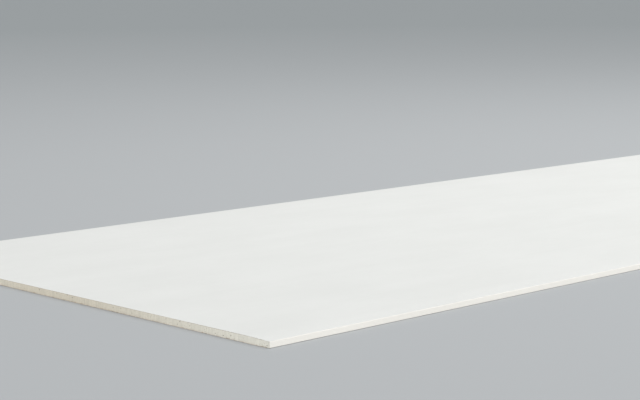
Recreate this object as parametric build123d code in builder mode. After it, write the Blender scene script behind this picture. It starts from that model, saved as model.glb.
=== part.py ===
from build123d import *

import os

# Tapered-edge drywall sheet, 12.5 x 1200 x 3000 mm, lying on its back.
# X runs along the sheet, Y across it, and Z up out of the white face.
# The origin is the centre of the back. All sizes are in millimetres.

# The board
sheet_length = 3000.0
sheet_width = 1200.0
sheet_thickness = 12.5

# The shallow recess along each long edge of the face, which the jointing compound fills later
taper_width = 50.0
taper_depth = 1.3
taper_crest_radius = 400.0

# The two papers, the fold of the face paper round the long edges and its laps on the back
face_paper_thickness = 0.3
back_paper_thickness = 0.3
edge_fold_radius = 1.2
face_paper_lap = 25.0
back_paper_margin = 8.0

# Widths and heights that follow from the sizes above
half_width = sheet_width / 2
taper_crest = half_width - taper_width
edge_top = sheet_thickness - taper_depth
core_land_width = sheet_width - 2 * face_paper_lap
back_paper_width = sheet_width - 2 * back_paper_margin

# The radii at one side of the section: the lower fold, the upper fold and the taper's crest
side_radii = [edge_fold_radius, edge_fold_radius, taper_crest_radius]

# The cross-section that the face paper encloses, out to the paper's outer surface.
# The back is flat. Each long edge stands square to it, and is lower than the middle of the
# sheet by the depth of the taper. Both its corners are rounded where the paper folds over.
with BuildSketch(Plane.YZ) as wrapped_section:
    with BuildLine():
        FilletPolyline(
            (half_width, back_paper_thickness),
            (half_width, edge_top),
            (taper_crest, sheet_thickness),
            (-taper_crest, sheet_thickness),
            (-half_width, edge_top),
            (-half_width, back_paper_thickness),
            radius=side_radii + side_radii[::-1],
            close=True,
        )
    make_face()

# The gap between the two laps of the face paper on the back. The core comes down through it.
with BuildSketch(Plane.YZ) as core_land:
    with Locations((0, back_paper_thickness)):
        Rectangle(core_land_width, face_paper_thickness, align=(Align.CENTER, Align.MIN))

# The gypsum core: cast as one body inside the face paper, flush on the back with its laps
with BuildPart() as gypsum_core:
    with BuildSketch(Plane.YZ):
        add(wrapped_section.sketch_local)
        offset(amount=-face_paper_thickness)
        add(core_land.sketch_local)
    extrude(amount=sheet_length / 2, both=True)

# The face paper: one sheet over the face, down both tapers, round the long edges and in
# under the core on each side
with BuildPart() as face_paper:
    with BuildSketch(Plane.YZ):
        add(wrapped_section.sketch_local)
        offset(amount=-face_paper_thickness, mode=Mode.SUBTRACT)
        add(core_land.sketch_local, mode=Mode.SUBTRACT)
    extrude(amount=sheet_length / 2, both=True)

# The back paper: laid last, flat over the core and the laps, its sides a little in from
# the folded edges
with BuildPart() as back_paper:
    with BuildSketch(Plane.YZ):
        Rectangle(back_paper_width, back_paper_thickness, align=(Align.CENTER, Align.MIN))
    extrude(amount=sheet_length / 2, both=True)

gypsum_core.part.label = "gypsum_core"
face_paper.part.label = "face_paper"
back_paper.part.label = "back_paper"

os.makedirs("parts", exist_ok=True)
export_step(gypsum_core.part, "parts/gypsum_core.step")
export_step(face_paper.part, "parts/face_paper.step")
export_step(back_paper.part, "parts/back_paper.step")
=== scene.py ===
import math
import bpy
import numpy as np
from mathutils import Euler, Matrix, Vector


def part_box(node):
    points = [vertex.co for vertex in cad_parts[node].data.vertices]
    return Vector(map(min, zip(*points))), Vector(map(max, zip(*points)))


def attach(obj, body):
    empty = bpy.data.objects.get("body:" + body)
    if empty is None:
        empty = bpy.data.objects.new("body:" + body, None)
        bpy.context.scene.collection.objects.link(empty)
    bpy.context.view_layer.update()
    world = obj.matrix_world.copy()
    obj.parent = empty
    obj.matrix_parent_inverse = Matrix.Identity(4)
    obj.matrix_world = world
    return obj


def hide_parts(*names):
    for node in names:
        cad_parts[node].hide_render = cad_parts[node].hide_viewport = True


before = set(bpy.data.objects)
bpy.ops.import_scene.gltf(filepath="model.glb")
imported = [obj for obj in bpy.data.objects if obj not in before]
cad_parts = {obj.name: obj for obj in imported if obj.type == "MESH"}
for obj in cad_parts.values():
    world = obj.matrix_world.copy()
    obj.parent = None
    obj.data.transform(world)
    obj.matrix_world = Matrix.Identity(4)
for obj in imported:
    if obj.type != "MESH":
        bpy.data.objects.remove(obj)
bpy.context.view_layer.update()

# The gypsum core: plaster slurry, foamed with air, which sets between the two papers into one
# matt grey-beige body. It is bare only at the two sawn ends, with burst bubbles, faint upright
# saw marks and small crumbs lost along the papers and most of all by the long edges.
core_low, core_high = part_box("gypsum_core")
wrap_low, wrap_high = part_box("face_paper")
half_length = wrap_high[0]
half_width = wrap_high[1]
face_height = wrap_high[2]
wrap_underside = wrap_low[2]
paper_thickness = face_height - core_high[2]
taper_width = 0.050
taper_depth = 0.0013
crest_radius = 0.400
fold_radius = 0.0012
lap_width = 0.025
tiny = 1e-6
# Tones of the sawn ends, darker and warmer in the middle and lighter towards the long edges:
# partly the board's denser hard edges, partly painted warm shade in the middle and painted light
# at the edges.
middle_tone_and_painted_shade = (0.700, 0.652, 0.548, 1.0)
hard_edge_tone_and_painted_light = (0.790, 0.775, 0.700, 1.0)
# Pores and bubble hollows are darkened towards this tone: painted shade in the hollows.
painted_pore_shade_tone = (0.27, 0.24, 0.19, 1.0)

taper_angle = math.atan(taper_depth / taper_width)
crest_centre = half_width - taper_width - crest_radius * math.tan(taper_angle / 2)
fold_centre = half_width - fold_radius
land_edge = half_width - lap_width
upper_fold_height = (
    face_height
    - (fold_centre - half_width + taper_width) * math.tan(taper_angle)
    - fold_radius / math.cos(taper_angle)
)
lower_fold_height = wrap_underside + fold_radius


def section_top(across, inset):
    """Height of the section's upper side: level in the middle, a large arc over the taper's
    crest, a straight fall down the taper and a small arc at the fold, all set in by inset."""
    reach = np.abs(across)
    level = np.full_like(reach, face_height - inset)
    crest_arc = face_height - crest_radius + np.sqrt(
        np.maximum((crest_radius - inset) ** 2 - (reach - crest_centre) ** 2, 0.0)
    )
    fall = (reach - half_width + taper_width) * math.tan(taper_angle)
    taper = face_height - fall - inset / math.cos(taper_angle)
    fold_arc = upper_fold_height + np.sqrt(
        np.maximum((fold_radius - inset) ** 2 - (reach - fold_centre) ** 2, 0.0)
    )
    taper_start = crest_centre + (crest_radius - inset) * math.sin(taper_angle)
    fold_start = fold_centre + (fold_radius - inset) * math.sin(taper_angle)
    height = np.where(reach < crest_centre, level, crest_arc)
    height = np.where(reach < taper_start, height, taper)
    return np.where(reach < fold_start, height, fold_arc)


def section_bottom(across, inset):
    """Height of the section's lower side: level, with a small arc up at the fold."""
    reach = np.abs(across)
    level = np.full_like(reach, wrap_underside + inset)
    fold_arc = lower_fold_height - np.sqrt(
        np.maximum((fold_radius - inset) ** 2 - (reach - fold_centre) ** 2, 0.0)
    )
    return np.where(reach < fold_centre, level, fold_arc)


def smooth_noise(along, across, pitch, seed):
    """Value noise from -1 to 1: random heights on a square lattice of that pitch, with a
    smooth step between neighbours."""
    size = 512
    heights = np.random.default_rng(seed).uniform(-1.0, 1.0, (size, size))
    row, row_part = np.divmod(along / pitch, 1.0)
    column, column_part = np.divmod(across / pitch, 1.0)
    row = row.astype(int) % size
    column = column.astype(int) % size
    next_row = (row + 1) % size
    next_column = (column + 1) % size
    row_part = row_part * row_part * (3.0 - 2.0 * row_part)
    column_part = column_part * column_part * (3.0 - 2.0 * column_part)
    here = heights[row, column] * (1.0 - column_part) + heights[row, next_column] * column_part
    beyond = (
        heights[next_row, column] * (1.0 - column_part)
        + heights[next_row, next_column] * column_part
    )
    return here * (1.0 - row_part) + beyond * row_part


def burst_bubbles(across, up, seed):
    """Depth of the hollows that burst bubbles leave. A square lattice of cells has one bubble
    in some of them, at a random place. Its hollow is the radius times one minus the square of
    the distance over the radius, and a fine noise makes its outline lumpy."""
    pitch = 0.0045
    size = 1024
    cells_with_one = 0.45
    least_radius = 0.0003
    radius_range = 0.0009
    lump_share = 0.35
    lump_pitch = 0.0008
    rng = np.random.default_rng(seed)
    offset_across = rng.random((size, size))
    offset_up = rng.random((size, size))
    held = rng.random((size, size)) < cells_with_one
    radius = np.where(held, least_radius + radius_range * rng.random((size, size)) ** 5, 0.0)
    lumps = 1.0 + lump_share * smooth_noise(across, up, lump_pitch, seed + 1)
    own_column = np.floor(across / pitch).astype(int)
    own_row = np.floor(up / pitch).astype(int)
    depth = np.zeros_like(across)
    for step_column in (-1, 0, 1):
        for step_row in (-1, 0, 1):
            column = own_column + step_column
            row = own_row + step_row
            cell = column % size, row % size
            distance = lumps * np.hypot(
                across - (column + offset_across[cell]) * pitch,
                up - (row + offset_up[cell]) * pitch,
            )
            size_here = np.maximum(radius[cell], tiny)
            bowl = radius[cell] * np.clip(1.0 - (distance / size_here) ** 2, 0.0, 1.0)
            depth = np.maximum(depth, bowl)
    return depth


def cut_depth(across, up, seed):
    """How far the sawn gypsum lies behind the end of the sheet, and the part of that which is
    burst bubble, as a share of a deep one. The saw's slow wander, its upright ridges and a fine
    grain are noises of falling pitch. Crumbling is the square of a coarser one. It fades away
    from the papers, and over a longer way from the long edges."""
    paper_stands_proud = 0.00022
    wander_depth, wander_pitch = 0.00010, 0.090
    ridge_depth, ridge_pitch, ridge_drift = 0.00005, 0.0021, 0.1
    grain_depth, grain_pitch = 0.00005, 0.0013
    crumb_pitch, crumb_cover = 0.0031, 0.15
    crumb_depth, more_by_long_edge, more_by_paper = 0.0001, 0.0006, 0.0008
    weak_by_paper, weak_by_long_edge = 0.0010, 0.025
    deep_bubble = 0.0008
    to_paper = np.minimum(
        up - section_bottom(across, paper_thickness),
        section_top(across, paper_thickness) - up,
    )
    by_paper = np.exp(-to_paper / weak_by_paper)
    by_long_edge = np.exp(-(half_width - np.abs(across)) / weak_by_long_edge)
    wander = wander_depth * (1.0 + smooth_noise(across, 0.0 * up, wander_pitch, seed))
    drift = ridge_drift * up
    ridges = ridge_depth * (1.0 + smooth_noise(across + drift, drift, ridge_pitch, seed + 1))
    grain = grain_depth * (1.0 + smooth_noise(across, up, grain_pitch, seed + 2))
    rough = np.clip(smooth_noise(across, up, crumb_pitch, seed + 3) + crumb_cover, 0.0, 1.0) ** 2
    crumble = rough * (crumb_depth + more_by_long_edge * by_long_edge + more_by_paper * by_paper)
    bubbles = burst_bubbles(across, up, seed + 4)
    depth = paper_stands_proud + wander + ridges + grain + crumble + bubbles
    return depth, bubbles / deep_bubble


def grid_quads(index):
    """Four-cornered faces between neighbouring entries of a two-way table of vertex numbers."""
    corners = (index[:-1, :-1], index[1:, :-1], index[1:, 1:], index[:-1, 1:])
    return np.stack([corner.ravel() for corner in corners], axis=1)


def rim_of(index):
    """The border of a two-way table of vertex numbers, once round and back to its start."""
    return np.concatenate([index[0], index[1:, -1], index[-1, -2::-1], index[-2::-1, 0]])


def piece_from(name, points, quads, sharp_angle):
    """A mesh object at the origin from an array of points and an array of faces, smooth
    except along edges that turn by more than sharp_angle."""
    mesh = bpy.data.meshes.new(name)
    mesh.from_pydata(points.reshape(-1, 3).tolist(), [], quads.tolist())
    mesh.shade_smooth()
    mesh.set_sharp_from_angle(angle=math.radians(sharp_angle))
    piece = bpy.data.objects.new(name, mesh)
    bpy.context.scene.collection.objects.link(piece)
    return piece


def lay_out(piece, corner_u, corner_v):
    """Gives a piece a flat map to bake its finish on. Each corner of each face has a place of
    its own, so a long narrow surface can be cut into lengths that are stacked."""
    places = np.stack([corner_u, corner_v], axis=-1).astype(np.float32)
    piece.data.uv_layers.new(name="OFBake").data.foreach_set("uv", places.ravel())


# Columns stand closer together towards the long edges, and rows towards the papers. A close
# pair of columns takes the small step in the core's back at each lap's edge.
column_count = 1797
row_count = 20
lap_step = 1e-5
spread = np.linspace(-1.0, 1.0, column_count)
columns = np.sort(
    np.append(
        core_high[1] * spread * (1.25 - 0.25 * spread**2),
        [side * land_edge + step for side in (-1, 1) for step in (-lap_step, lap_step)],
    )
)
rows = np.linspace(0.0, 1.0, row_count)
rows = 0.5 * rows + 0.25 * (1.0 - np.cos(math.pi * rows))
across, share = np.meshgrid(columns, rows)
bottom = section_bottom(across, paper_thickness)
bottom = np.where(np.abs(across) < land_edge, core_low[2], bottom)
up = bottom + share * (section_top(across, paper_thickness) - bottom)
left_depth, left_bubbles = cut_depth(across, up, 11)
right_depth, right_bubbles = cut_depth(across, up, 31)
left_cut = np.stack([-half_length + left_depth, across, up], axis=-1)
right_cut = np.stack([half_length - right_depth, across, up], axis=-1)
left_index = np.arange(across.size).reshape(across.shape)
right_index = left_index + across.size
rim = rim_of(left_index)
cut_quads = np.concatenate([grid_quads(left_index.T)[:, ::-1], grid_quads(right_index.T)])
side_quads = np.stack(
    [rim[:-1], rim[1:], rim[1:] + across.size, rim[:-1] + across.size], axis=1
)
gypsum_core = piece_from(
    "gypsum_core_sawn",
    np.stack([left_cut, right_cut]),
    np.concatenate([cut_quads, side_quads]),
    sharp_angle=60,
)
bubble_share = gypsum_core.data.attributes.new("bubble", "FLOAT", "POINT")
bubble_share.data.foreach_set("value", np.stack([left_bubbles, right_bubbles]).ravel())

# The flat map: each sawn end cut into six lengths, one over the other, then the hidden sides
lengths = 6
bands = 2 * lengths + 1
band_margin = 0.06
band_fill = 1.0 - 2 * band_margin
length_columns = (columns.size - 1) // lengths
corner_column = cut_quads % columns.size
corner_row = cut_quads // columns.size % row_count
own_length = corner_column.min(axis=1, keepdims=True) // length_columns
cut_band = own_length + lengths * np.repeat([[0], [1]], len(cut_quads) // 2, axis=0)
side_number = np.arange(len(side_quads))[:, None]
lay_out(
    gypsum_core,
    np.concatenate(
        [
            corner_column / length_columns - own_length,
            (side_number + [[0, 1, 1, 0]]) / len(side_quads),
        ]
    ),
    np.concatenate(
        [
            cut_band + band_margin + band_fill * corner_row / (row_count - 1),
            bands - 1 + band_margin + band_fill * np.tile([[0, 0, 1, 1]], (len(side_quads), 1)),
        ]
    )
    / bands,
)


def add(tree, kind, inputs=(), **settings):
    """Adds a shader node. Each input is a value to set or a socket to link."""
    node = tree.nodes.new(kind)
    for name, value in settings.items():
        setattr(node, name, value)
    for key, value in dict(inputs).items():
        if isinstance(value, bpy.types.NodeSocket):
            tree.links.new(value, node.inputs[key])
        else:
            node.inputs[key].default_value = value
    return node


def noise(tree, place, scale, detail, **inputs):
    """The value of a noise texture at a place."""
    inputs = {"Vector": place, "Scale": scale, "Detail": detail, **inputs}
    return add(tree, "ShaderNodeTexNoise", inputs).outputs["Fac"]


def stretched(tree, place, scale):
    """A place with its coordinates scaled, so that a pattern read there is drawn out."""
    return add(tree, "ShaderNodeMapping", {"Vector": place, "Scale": scale}).outputs[0]


def graded(tree, value, start, stop, low=0.0, high=1.0):
    """A value carried from the range start to stop over to low to high, and held there."""
    inputs = {"Value": value, "From Min": start, "From Max": stop, "To Min": low, "To Max": high}
    return add(tree, "ShaderNodeMapRange", inputs).outputs[0]


def combined(tree, operation, *values):
    """The result of a sum on one, two or three values."""
    return add(tree, "ShaderNodeMath", dict(enumerate(values)), operation=operation).outputs[0]


def blended(tree, factor, first, second, way="MIX"):
    """A colour mixed from two by a factor."""
    inputs = {"Factor": factor, "A": first, "B": second}
    node = add(tree, "ShaderNodeMix", inputs, data_type="RGBA", blend_type=way)
    return node.outputs["Result"]


def from_middle(tree, place):
    """Distance of a place from the sheet's middle line, across the sheet."""
    apart = add(tree, "ShaderNodeSeparateXYZ", {"Vector": place})
    return combined(tree, "ABSOLUTE", apart.outputs["Y"])


def new_finish(name):
    """A new material, its node tree, and the place on the piece that its patterns read."""
    material = bpy.data.materials.new(name)
    material.use_nodes = True
    tree = material.node_tree
    return material, tree, add(tree, "ShaderNodeTexCoord").outputs["Object"]


gypsum, tree, place = new_finish("sawn_gypsum")
grain = noise(tree, place, 900.0, 4.0, Roughness=0.65)
clouds = noise(tree, place, 45.0, 3.0)
saw_marks = noise(tree, stretched(tree, place, (1.0, 1.0, 0.06)), 480.0, 2.0)
fine_pores = add(tree, "ShaderNodeTexVoronoi", {"Vector": place, "Scale": 1050.0})
pores = add(tree, "ShaderNodeTexVoronoi", {"Vector": place, "Scale": 320.0})
pore_shade = combined(
    tree,
    "MULTIPLY",
    graded(tree, pores.outputs["Distance"], 0.10, 0.20, 1.0, 0.0),
    graded(tree, clouds, 0.52, 0.60),
)
bubble = add(tree, "ShaderNodeAttribute", attribute_name="bubble").outputs["Fac"]
# Hollows: where the pores and bubbles are, for the bump and for the painted shade in the colour.
hollows = combined(tree, "MAXIMUM", pore_shade, graded(tree, bubble, 0.2, 0.7))
# The tone by distance from the middle line: partly real hard edges, partly painted shade and
# light.
tone_across_and_painted_light = blended(
    tree,
    graded(tree, from_middle(tree, place), 0.10, half_width),
    middle_tone_and_painted_shade,
    hard_edge_tone_and_painted_light,
)
# Grain in the colour, and dark specks at the fine pores: painted shade.
grain_and_painted_pore_shade = combined(
    tree,
    "MULTIPLY",
    graded(tree, grain, 0.30, 0.70, 0.90, 1.06),
    graded(tree, fine_pores.outputs["Distance"], 0.10, 0.35, 0.86, 1.0),
)
streaks = combined(
    tree,
    "MULTIPLY",
    graded(tree, saw_marks, 0.40, 0.75, 1.03, 0.90),
    graded(tree, clouds, 0.35, 0.65, 0.97, 1.02),
)
shaded = blended(tree, 1.0, tone_across_and_painted_light, combined(tree, "MULTIPLY", grain_and_painted_pore_shade, streaks), "MULTIPLY")
# The pores and bubble hollows darkened in colour: painted shade.
colour_with_painted_pit_shade = blended(tree, hollows, shaded, painted_pore_shade_tone)
relief = combined(
    tree,
    "SUBTRACT",
    combined(tree, "MULTIPLY_ADD", saw_marks, -0.6, grain),
    combined(tree, "MULTIPLY", hollows, 1.5),
)
bump = add(
    tree, "ShaderNodeBump", {"Strength": 0.7, "Distance": 0.00025, "Height": relief}
)
shader = tree.nodes["Principled BSDF"]
shader.inputs["Roughness"].default_value = 0.95
shader.inputs["Specular IOR Level"].default_value = 0.1
tree.links.new(colour_with_painted_pit_shade, shader.inputs["Base Color"])
tree.links.new(bump.outputs["Normal"], shader.inputs["Normal"])

gypsum_core.data.materials.append(gypsum)
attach(gypsum_core, "root")
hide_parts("gypsum_core")

# The face paper: one web of ivory-white liner, bonded over the face, creased round both long
# edges by the edge formers and lapped under the back. The saw leaves its grey inner plies bare
# and a little ragged at each end, and lifts its lip where the face falls to the long edges.


def wrap_side(inset):
    """The right half of the wrap in section, from the lap's edge under the back to the middle
    of the face: straight runs joined by arcs about the two folds and the taper's crest."""
    lap_steps, arc_steps, edge_steps, taper_steps, face_steps = 14, 8, 18, 52, 300
    lap = np.linspace(land_edge, fold_centre, lap_steps)[:-1]
    lower_turn = np.linspace(-math.pi / 2, 0.0, arc_steps)
    upper_turn = np.linspace(0.0, math.pi / 2 - taper_angle, arc_steps)
    crest_turn = np.linspace(math.pi / 2 - taper_angle, math.pi / 2, arc_steps)
    edge = np.linspace(lower_fold_height, upper_fold_height, edge_steps)[1:-1]
    fold = fold_radius - inset
    crest = crest_radius - inset
    taper_foot = fold_centre + fold * math.cos(upper_turn[-1])
    taper_head = crest_centre + crest * math.cos(crest_turn[0])
    taper = np.linspace(taper_foot, taper_head, taper_steps)[1:-1]
    face = np.linspace(crest_centre, 0.0, face_steps)[1:]
    y = np.concatenate(
        [
            lap,
            fold_centre + fold * np.cos(lower_turn),
            np.full_like(edge, half_width - inset),
            fold_centre + fold * np.cos(upper_turn),
            taper,
            crest_centre + crest * np.cos(crest_turn),
            face,
        ]
    )
    z = np.concatenate(
        [
            np.full_like(lap, wrap_underside + inset),
            lower_fold_height + fold * np.sin(lower_turn),
            edge,
            upper_fold_height + fold * np.sin(upper_turn),
            section_top(taper, inset),
            face_height - crest_radius + crest * np.sin(crest_turn),
            np.full_like(face, face_height - inset),
        ]
    )
    return y, z


def wrap_line(inset):
    """The whole wrap in section, from the right lap over the face to the left lap."""
    y, z = wrap_side(inset)
    return np.concatenate([y, -y[-2::-1]]), np.concatenate([z, z[-2::-1]])


def cut_border(run, end):
    """How far the paper's cut border lies behind the end of the sheet, from its place along
    the wrap: a fine fray and a coarser one, both stronger near the long edges."""
    weak_by_long_edge = 0.060
    fray_depth, fray_pitch = 0.00010, 0.0026
    nick_depth, nick_pitch = 0.00022, 0.0090
    by_long_edge = np.exp(-np.minimum(run, web_width - run) / weak_by_long_edge)
    fray = fray_depth * (1.0 + smooth_noise(run, end, fray_pitch, 43))
    nicks = nick_depth * np.clip(smooth_noise(run, end, nick_pitch, 44), 0.0, 1.0)
    return (fray + nicks) * (1.0 + by_long_edge)


def recess_room(height):
    """How much of the taper's full depth lies free over a place on the web, from 0 to 1."""
    return np.where(
        height > upper_fold_height, np.clip((face_height - height) / taper_depth, 0.0, 1.0), 0.0
    )


outer_y, outer_z = wrap_line(0.0)
inner_y, inner_z = wrap_line(paper_thickness)
outer_run = np.concatenate([[0.0], np.cumsum(np.hypot(np.diff(outer_y), np.diff(outer_z)))])
web_width = outer_run[-1]
loop_y = np.concatenate([outer_y, inner_y[::-1]])
loop_z = np.concatenate([outer_z, inner_z[::-1]])
loop_run = np.concatenate([outer_run, outer_run[::-1]])
loop_room = np.concatenate([recess_room(outer_z), recess_room(outer_z)[::-1]])

# Sections along the sheet stand close together at its ends, for the lifted lip, and evenly
# apart between them
near_end = np.array([0.0, 0.0009, 0.0025, 0.006, 0.014, 0.030])
even_start, even_count = 0.060, 15
from_end = np.concatenate([near_end, np.linspace(even_start, half_length, even_count)])
stations = np.concatenate([-half_length + from_end, (half_length - from_end)[-2::-1]])
along, run = np.meshgrid(stations, loop_run, indexing="ij")
to_cut = half_length - np.abs(along)
wrap_y = np.broadcast_to(loop_y, along.shape)
wrap_z = np.broadcast_to(loop_z, along.shape)

# The long edges wave a little along the sheet, and so do the laps' edges
edge_wave, edge_wave_pitch = 0.00008, 0.21
lap_wave, lap_wave_pitch = 0.0008, 0.16
edge_sway = edge_wave * (1.0 + smooth_noise(along, 0.0 * along, edge_wave_pitch, 41))
wrap_y = np.where(np.abs(wrap_y) > fold_centre, wrap_y - np.sign(wrap_y) * edge_sway, wrap_y)
lap_sway = lap_wave * smooth_noise(along, np.sign(wrap_y), lap_wave_pitch, 42)
at_lap_edge = (np.abs(wrap_y) < land_edge + tiny) & (wrap_z < fold_radius)
wrap_y = np.where(at_lap_edge, wrap_y + lap_sway, wrap_y)

# The cut border frays, and its lip rises into the recess
lip_rise, lip_pitch, lip_reach = 0.00045, 0.0048, 0.0011
at_cut = to_cut < tiny
wrap_x = along - np.where(at_cut, np.sign(along) * cut_border(run, np.sign(along)), 0.0)
lip = np.clip(smooth_noise(run, np.sign(along), lip_pitch, 45), 0.0, 1.0)
lip = lip * np.exp(-to_cut / lip_reach)
wrap_z = wrap_z + lip_rise * lip * loop_room

loop_index = np.arange(along.size).reshape(along.shape)
closed_index = np.concatenate([loop_index, loop_index[:, :1]], axis=1)
wall_count = outer_y.size
first_outer = loop_index[0, :wall_count]
first_inner = loop_index[0, :wall_count - 1:-1]
last_outer = loop_index[-1, :wall_count]
last_inner = loop_index[-1, :wall_count - 1:-1]
wall_quads = grid_quads(closed_index.T)
face_paper = piece_from(
    "face_paper_wrap",
    np.stack([wrap_x, wrap_y, wrap_z], axis=-1),
    np.concatenate(
        [
            wall_quads,
            grid_quads(np.stack([first_outer, first_inner])),
            grid_quads(np.stack([last_inner, last_outer])),
        ]
    ),
    sharp_angle=50,
)

# The flat map: the outer side unrolled, its edges and laps spread wider than the face, then
# the hidden inner side and the four narrow borders
edge_zone = 0.012
edge_spread = 3.0
edge_share = np.where(np.abs(outer_y) > half_width - edge_zone, edge_spread, 1.0)
outer_share = np.concatenate([[0.0], np.cumsum(np.diff(outer_run) * edge_share[1:])])
outer_share = outer_share / outer_share[-1]
inner_share = np.linspace(0.0, 1.0, wall_count)
outer_place = 0.12 + 0.87 * outer_share
inner_place = 0.05 + 0.06 * inner_share
lap_borders = (0.020, 0.027), (0.030, 0.037)
end_borders = [[0.001, 0.007, 0.007, 0.001]], [[0.010, 0.016, 0.016, 0.010]]
row_start = np.concatenate(
    [outer_place[:-1], [lap_borders[0][0]], inner_place[:-1], [lap_borders[1][0]]]
)
row_stop = np.concatenate(
    [outer_place[1:], [lap_borders[0][1]], inner_place[1:], [lap_borders[1][1]]]
)
station_share = (stations + half_length) / (2 * half_length)
station_pair = np.stack([station_share[:-1], station_share[1:]], axis=1)[:, [0, 0, 1, 1]]
border_pair = np.stack([inner_share[:-1], inner_share[1:]], axis=1)[:, [0, 0, 1, 1]]
row_pair = np.stack([row_start, row_stop], axis=1)[:, [0, 1, 1, 0]]
lay_out(
    face_paper,
    np.concatenate([np.tile(station_pair, (loop_y.size, 1)), border_pair, border_pair]),
    np.concatenate(
        [
            np.repeat(row_pair, stations.size - 1, axis=0),
            np.tile(end_borders[0], (wall_count - 1, 1)),
            np.tile(end_borders[1], (wall_count - 1, 1)),
        ]
    ),
)


def paper_fibres():
    """A node group for pressed paper, whose fibres lie mostly along the web. Mottle is its
    broad cloudiness with faint streaks, Fibres the stray hairs, which are the thin band where
    a curling noise crosses its middle value, broken up by another, and Tooth its surface."""
    group = bpy.data.node_groups.new("paper_fibres", "ShaderNodeTree")
    for name, way, kind in (
        ("Vector", "INPUT", "NodeSocketVector"),
        ("Fibre Share", "INPUT", "NodeSocketFloat"),
        ("Mottle", "OUTPUT", "NodeSocketFloat"),
        ("Fibres", "OUTPUT", "NodeSocketFloat"),
        ("Tooth", "OUTPUT", "NodeSocketFloat"),
    ):
        group.interface.new_socket(name, in_out=way, socket_type=kind)
    inside = add(group, "NodeGroupInput")
    place = inside.outputs["Vector"]
    web = stretched(group, place, (0.6, 1.0, 1.0))
    broad = noise(group, web, 7.0, 3.0)
    small = noise(group, web, 60.0, 3.0)
    streaks = noise(group, stretched(group, place, (0.03, 1.0, 1.0)), 34.0, 2.0)
    cloudy = combined(
        group, "MULTIPLY_ADD", small, 0.35, combined(group, "MULTIPLY_ADD", streaks, 0.45, broad)
    )
    curling = noise(group, web, 230.0, 1.0, Distortion=0.45)
    off_middle = combined(group, "ABSOLUTE", combined(group, "SUBTRACT", curling, 0.5))
    broken = noise(group, place, 140.0, 1.0)
    present = combined(group, "ADD", broken, inside.outputs["Fibre Share"])
    outputs = {
        "Mottle": graded(group, cloudy, 0.70, 1.10),
        "Fibres": combined(
            group,
            "MULTIPLY",
            graded(group, off_middle, 0.0, 0.016, 1.0, 0.0),
            graded(group, present, 0.70, 0.76),
        ),
        "Tooth": noise(group, web, 1400.0, 3.0),
    }
    add(group, "NodeGroupOutput", outputs)
    return group


fibres = paper_fibres()


def paper_material(name, pale, deep, fibre, fibre_share, tooth_depth, roughness, edge_yellowing_and_painted_bounce=None):
    """A matt paper: two close tones by the fibre group's mottle, with stray hairs over them,
    and on the long edges a warm tint, if it has one: partly paper yellowed at the exposed
    edge, partly painted warm bounce light."""
    material, tree, place = new_finish(name)
    sheet = add(tree, "ShaderNodeGroup", node_tree=fibres)
    tree.links.new(place, sheet.inputs["Vector"])
    sheet.inputs["Fibre Share"].default_value = fibre_share
    colour = blended(tree, sheet.outputs["Mottle"], deep, pale)
    colour = blended(tree, sheet.outputs["Fibres"], colour, fibre)
    if edge_yellowing_and_painted_bounce:
        # The warm tint on the long edges: partly yellowed paper, partly painted warm bounce
        # light.
        start, stop = half_width - 0.0030, half_width - 0.0004
        on_edge = graded(tree, from_middle(tree, place), start, stop)
        colour = blended(tree, on_edge, colour, edge_yellowing_and_painted_bounce, "MULTIPLY")
    bump = add(
        tree,
        "ShaderNodeBump",
        {"Strength": 0.6, "Distance": tooth_depth, "Height": sheet.outputs["Tooth"]},
    )
    shader = tree.nodes["Principled BSDF"]
    shader.inputs["Specular IOR Level"].default_value = 0.1
    tree.links.new(colour, shader.inputs["Base Color"])
    tree.links.new(
        graded(tree, sheet.outputs["Mottle"], 0.0, 1.0, roughness - 0.04, roughness + 0.04),
        shader.inputs["Roughness"],
    )
    tree.links.new(bump.outputs["Normal"], shader.inputs["Normal"])
    return material


ivory = paper_material(
    "ivory_face_liner",
    pale=(0.845, 0.848, 0.822, 1.0),
    deep=(0.824, 0.827, 0.800, 1.0),
    fibre=(0.76, 0.755, 0.715, 1.0),
    fibre_share=0.05,
    tooth_depth=0.00010,
    roughness=0.80,
    # The long edges' warm tint: partly yellowed paper, partly painted warm bounce light.
    edge_yellowing_and_painted_bounce=(1.0, 0.972, 0.945, 1.0),
)
# The inner plies' own grey-brown, made darker still: painted shade along the cut border.
plies = paper_material(
    "sawn_paper_plies",
    pale=(0.50, 0.46, 0.39, 1.0),
    deep=(0.34, 0.30, 0.245, 1.0),
    fibre=(0.66, 0.63, 0.57, 1.0),
    fibre_share=0.20,
    tooth_depth=0.0002,
    roughness=0.94,
)

# The ivory side shows outside, and the plies on the hidden inner side and the borders
face_paper.data.materials.append(ivory)
face_paper.data.materials.append(plies)
row_slot = np.zeros(loop_y.size, dtype=np.int32)
row_slot[wall_count - 1:] = 1
ply_slots = np.ones(len(face_paper.data.polygons), dtype=np.int32)
ply_slots[:len(wall_quads)] = np.repeat(row_slot, stations.size - 1)
face_paper.data.polygons.foreach_set("material_index", ply_slots)
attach(face_paper, "root")
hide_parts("face_paper")

# The torn paper at the cut ends: the saw tears the liner rather than cutting it clean. Small
# tags of it stay along the cut, bent down over the gypsum, or standing up into the recess by
# the long edges, where it is loose.


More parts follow.
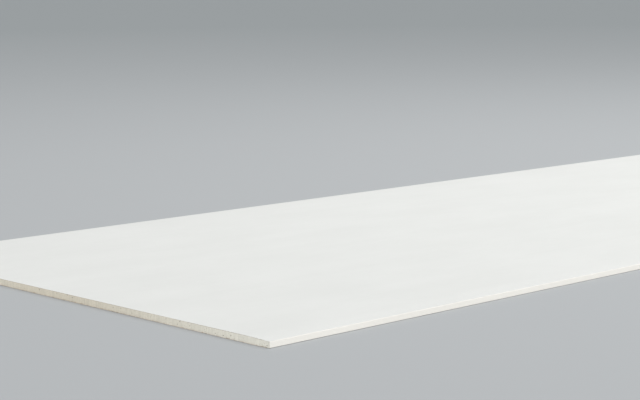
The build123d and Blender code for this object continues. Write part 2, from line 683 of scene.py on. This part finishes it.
def torn_tags(end, seed):
    """Closed strips along one cut border, as points and faces. Each is a flat band carried
    along an arc, which starts in the paper and turns down over the gypsum or up. It narrows
    and thins towards a slanting tip. The table has one row a tag, then rings, then four
    corners."""
    in_taper, on_edge, on_face = 110, 16, 70
    taper_band = 0.055
    least_width, width_range = 0.00025, 0.00110
    upward_share = 0.4
    least_room, room_used = 0.0003, 0.6
    most_lean, most_slant = 0.6, 0.45
    held_back = 0.0002
    nearest_tip, furthest_tip = 0.00006, 0.00014
    rings, turned_by = 6, 0.4
    narrowing = 0.6
    root_thickness, thinning = 0.00010, 0.00006
    rng = np.random.default_rng(seed)
    count = in_taper + on_edge + on_face
    lap_run = lap_width + 0.5 * fold_radius
    edge_run = upper_fold_height - lower_fold_height
    taper_run = lap_run + edge_run + 2 * fold_radius
    face_run = web_width / 2 - taper_run - taper_band
    place = np.concatenate(
        [
            taper_run + taper_band * rng.random(in_taper) ** 1.4,
            lap_run + edge_run * rng.random(on_edge),
            taper_run + taper_band + face_run * rng.random(on_face),
        ]
    )
    place = np.where(rng.random(count) < 0.5, place, web_width - place)
    middle_y = np.interp(place, outer_run, 0.5 * (outer_y + inner_y))
    middle_z = np.interp(place, outer_run, 0.5 * (outer_z + inner_z))
    out_y = np.interp(place, outer_run, outer_y - inner_y) / paper_thickness
    out_z = np.interp(place, outer_run, outer_z - inner_z) / paper_thickness
    room = taper_depth * recess_room(np.interp(place, outer_run, outer_z))
    draw = rng.random(count)
    loose_reach = 0.0004 + 0.0018 * draw**3
    bonded_reach = 0.0003 + 0.0005 * draw
    reach = np.where(np.arange(count) < in_taper, loose_reach, bonded_reach)
    upward = (rng.random(count) < upward_share) & (room > least_room)
    reach = np.where(upward, np.minimum(reach, room_used * room), reach)
    reach = np.where(upward, 1.0, -1.0) * reach
    width = least_width + width_range * rng.random(count) ** 2
    lean = reach * rng.uniform(-most_lean, most_lean, count)
    slant = rng.uniform(-most_slant, most_slant, count)
    start = cut_border(place, end) + held_back
    stop = rng.uniform(nearest_tip, furthest_tip, count)

    step = np.linspace(0.0, 1.0, rings)
    bend = np.clip(step / turned_by, 0.0, 1.0) ** 0.7
    depth = start[:, None] + (stop - start)[:, None] * bend
    rise = reach[:, None] * step**1.5
    slope_depth = np.gradient(depth, axis=1)
    slope_rise = np.gradient(rise, axis=1)
    slope = np.hypot(slope_depth, slope_rise)
    breadth = width[:, None] * (1.0 - narrowing * step**1.5)
    thick = root_thickness - thinning * step
    x = end * (half_length - depth)
    side = end * np.stack([np.zeros(count), out_z, -out_y], axis=-1)
    outward = np.stack([np.zeros(count), out_y, out_z], axis=-1)
    centre = np.zeros((count, rings, 3))
    centre[..., 0] = x
    centre[..., 1] = middle_y[:, None]
    centre[..., 2] = middle_z[:, None]
    centre += outward[:, None] * rise[..., None]
    centre += side[:, None] * (lean[:, None] * step)[..., None]
    across_band = side[:, None] * breadth[..., None] / 2
    across_band += outward[:, None] * (slant[:, None] * rise)[..., None]
    facing = outward[:, None] * (slope_depth / slope)[..., None]
    facing = facing + np.stack([end * slope_rise / slope, 0.0 * x, 0.0 * x], axis=-1)
    facing = facing * (thick / 2)[:, None]
    points = np.stack(
        [
            centre + across_band + facing,
            centre - across_band + facing,
            centre - across_band - facing,
            centre + across_band - facing,
        ],
        axis=2,
    )
    index = np.arange(count * rings * 4).reshape(count, rings, 4)
    ring = np.concatenate([index, index[..., :1]], axis=2)
    walls = np.stack(
        [ring[:, :-1, :-1], ring[:, 1:, :-1], ring[:, 1:, 1:], ring[:, :-1, 1:]], axis=-1
    ).reshape(-1, 4)
    quads = np.concatenate([walls, index[:, 0], index[:, -1, ::-1]])
    return points.reshape(-1, 3), quads


left_tags, left_tag_quads = torn_tags(-1.0, 71)
right_tags, right_tag_quads = torn_tags(1.0, 72)
torn_paper = piece_from(
    "torn_paper_tags",
    np.concatenate([left_tags, right_tags]),
    np.concatenate([left_tag_quads, right_tag_quads + len(left_tags)]),
    sharp_angle=50,
)
torn_paper.data.materials.append(ivory)
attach(torn_paper, "root")

# The back paper: a coarser liner of grey-beige recycled fibre, laid last over the core and the
# laps of the face paper. Its sides stop short of the folded edges and wander a little.
back_low, back_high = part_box("back_paper")
back_column_count = 420
side_wander, side_wander_pitch = 0.0012, 0.23
back_fray_depth, back_fray_pitch = 0.00018, 0.0034
back_columns = np.linspace(back_low[1], back_high[1], back_column_count)
back_along, back_across = np.meshgrid(stations, back_columns, indexing="ij")
side_noise = smooth_noise(back_along, np.sign(back_across), side_wander_pitch, 61)
side_sway = np.abs(side_wander * side_noise)
at_side = np.abs(back_across) > back_high[1] - tiny
back_y = np.where(at_side, back_across - side_sway * np.sign(back_across), back_across)
fray_noise = smooth_noise(back_across, np.sign(back_along), back_fray_pitch, 62)
back_fray = back_fray_depth * (1.0 + fray_noise)
back_fray = np.where(half_length - np.abs(back_along) < tiny, back_fray, 0.0)
back_x = back_along - np.sign(back_along) * back_fray
under = np.stack([back_x, back_y, np.full_like(back_x, back_low[2])], axis=-1)
over = np.stack([back_x, back_y, np.full_like(back_x, back_high[2])], axis=-1)
under_index = np.arange(back_x.size).reshape(back_x.shape)
over_index = under_index + back_x.size
back_rim = rim_of(under_index)
sheet_quads = np.concatenate([grid_quads(under_index)[:, ::-1], grid_quads(over_index)])
rim_quads = np.stack(
    [back_rim[:-1], back_rim[:-1] + back_x.size, back_rim[1:] + back_x.size, back_rim[1:]], axis=1
)
back_paper = piece_from(
    "back_paper_liner",
    np.stack([under, over]),
    np.concatenate([sheet_quads, rim_quads]),
    sharp_angle=50,
)

# The flat map: the side that shows, then the hidden side and the rim
corner_station = sheet_quads % back_x.size // back_column_count
corner_share = sheet_quads % back_column_count / (back_column_count - 1)
shown_place = 0.14 + 0.85 * corner_share
hidden_place = 0.05 + 0.07 * corner_share
rim_place = [[0.01, 0.04, 0.04, 0.01]]
hidden = sheet_quads >= back_x.size
rim_number = np.arange(len(rim_quads))[:, None]
lay_out(
    back_paper,
    np.concatenate(
        [station_share[corner_station], (rim_number + [[0, 0, 1, 1]]) / len(rim_quads)]
    ),
    np.concatenate(
        [
            np.where(hidden, hidden_place, shown_place),
            np.tile(rim_place, (len(rim_quads), 1)),
        ]
    ),
)
recycled = paper_material(
    "recycled_back_liner",
    pale=(0.560, 0.462, 0.392, 1.0),
    deep=(0.500, 0.410, 0.345, 1.0),
    fibre=(0.435, 0.352, 0.292, 1.0),
    fibre_share=0.17,
    tooth_depth=0.0002,
    roughness=0.9,
)
back_paper.data.materials.append(recycled)
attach(back_paper, "root")
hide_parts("back_paper")

# The floor: plain and pale, and a little darker with distance, to meet the backdrop's tone.
floor_reach = 70.0
floor_drop = 0.0001
fade_start, fade_end = 2.0, 16.0
near_tone = (0.50, 0.515, 0.525, 1.0)
far_tone = (0.43, 0.455, 0.463, 1.0)
floor_corners = np.array([[-1.0, -1.0], [1.0, -1.0], [1.0, 1.0], [-1.0, 1.0]]) * floor_reach
floor = piece_from(
    "floor",
    np.insert(floor_corners, 2, -floor_drop, axis=1),
    np.array([[0, 1, 2, 3]]),
    sharp_angle=30,
)
floor_finish, tree, place = new_finish("pale_floor")
distance = add(tree, "ShaderNodeVectorMath", {0: place}, operation="LENGTH").outputs["Value"]
fading = graded(tree, distance, fade_start, fade_end)
floor_tone = blended(tree, fading, near_tone, far_tone)
shader = tree.nodes["Principled BSDF"]
shader.inputs["Roughness"].default_value = 0.9
shader.inputs["Specular IOR Level"].default_value = 0.1
tree.links.new(floor_tone, shader.inputs["Base Color"])
floor.data.materials.append(floor_finish)

# The light: an even sky, which the camera sees as a plain backdrop, and three soft lamps. The
# front light falls on the face and the near long edge, the side light on the cut end, and the
# top light mostly on the far end.
world = bpy.data.worlds.new("studio")
bpy.context.scene.world = world
world.use_nodes = True
sky = world.node_tree
for old in list(sky.nodes):
    sky.nodes.remove(old)
seen = add(sky, "ShaderNodeLightPath").outputs
backdrop = combined(sky, "MAXIMUM", seen["Is Camera Ray"], seen["Is Glossy Ray"])
sky_light = add(sky, "ShaderNodeBackground", {"Color": (0.94, 0.97, 1.0, 1.0), "Strength": 0.535})
sky_seen = add(sky, "ShaderNodeBackground", {"Color": (0.308, 0.331, 0.342, 1.0)})
sky_mix = add(
    sky, "ShaderNodeMixShader", {0: backdrop, 1: sky_light.outputs[0], 2: sky_seen.outputs[0]}
)
add(sky, "ShaderNodeOutputWorld", {"Surface": sky_mix.outputs[0]})


def hang_lamp(light, power, colour, position, aim):
    """Puts a lamp at a position, turned to an aim. The camera doesn't see it."""
    light.energy = power
    light.color = colour
    lamp = bpy.data.objects.new(light.name, light)
    lamp.location = position
    back = Vector(position) - Vector(aim)
    lamp.rotation_euler = back.to_track_quat("Z", "Y").to_euler()
    lamp.visible_camera = False
    bpy.context.scene.collection.objects.link(lamp)


front_light = bpy.data.lights.new("front_light", "SUN")
side_light = bpy.data.lights.new("side_light", "SUN")
top_light = bpy.data.lights.new("top_light", "AREA")
sun_spread = math.radians(40)
front_light.angle = sun_spread
side_light.angle = sun_spread
top_light.shape = "SQUARE"
top_light.size = 5.0
hang_lamp(front_light, 1.15, (1.0, 0.985, 0.965), (0.0, -8.0, 3.0), (0.0, 0.0, 0.0))
hang_lamp(side_light, 1.30, (1.0, 0.975, 0.935), (-8.5, -2.0, 2.5), (0.0, 0.0, 0.0))
hang_lamp(top_light, 130.0, (1.0, 0.99, 0.98), (2.2, -1.5, 5.0), (0.5, 0.0, 0.0))

# The camera: a long lens at a low height, off the near left corner of the sheet.
camera_yaw = math.radians(43.16)
camera_pitch = math.radians(7.71)
camera_roll = math.radians(0.56)
beyond_end = 1.6895
beyond_edge = 1.9220
camera_height = 0.5844
camera = bpy.data.cameras.new("camera")
camera.lens = 92.3
camera.clip_end = 200.0
camera_object = bpy.data.objects.new("camera", camera)
turn = Euler((math.pi / 2 - camera_pitch, 0.0, -camera_yaw)).to_matrix()
tilt = Matrix.Rotation(-camera_roll, 3, "Z")
camera_object.rotation_euler = (turn @ tilt).to_euler()
camera_object.location = (-half_length - beyond_end, -half_width - beyond_edge, camera_height)
bpy.context.scene.collection.objects.link(camera_object)
bpy.context.scene.camera = camera_object
bpy.context.scene.view_settings.view_transform = "Standard"
